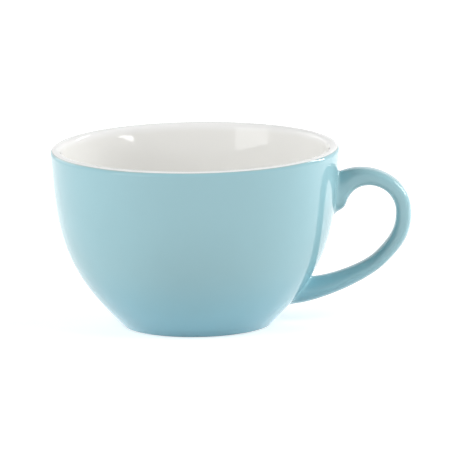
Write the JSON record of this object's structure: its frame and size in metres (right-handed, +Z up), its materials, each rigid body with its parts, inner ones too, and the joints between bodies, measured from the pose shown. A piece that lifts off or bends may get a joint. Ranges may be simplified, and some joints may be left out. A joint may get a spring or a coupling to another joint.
{
  "type": "cappuccino cup",
  "caption": "Round-bottomed cappuccino cup with a wide mouth, a rounded lip, a loop handle and a recessed foot; white glaze inside and pale blue glaze outside.",
  "frame": {"origin": "the cup's turning axis where it meets the plane that the foot stands on", "axes": "+Z up along the cup's axis, +X out from the axis along the middle of the handle"},
  "size_m": [0.1196, 0.096, 0.0596],
  "materials": {
    "clay": "bare fired stoneware, matt and slightly gritty",
    "slip": "fired slip, matt",
    "white_glaze": "glossy white glaze",
    "blue_glaze": "glossy pale duck-egg blue glaze"
  },
  "bodies": {
    "root": {"bowl": "clay", "handle": "clay", "upper_slip_joint": "slip", "lower_slip_joint": "slip", "inside_glaze": "white_glaze", "outside_glaze": "blue_glaze", "handle_glaze": "blue_glaze", "recess_glaze": "blue_glaze"}
  },
  "joints": []
}
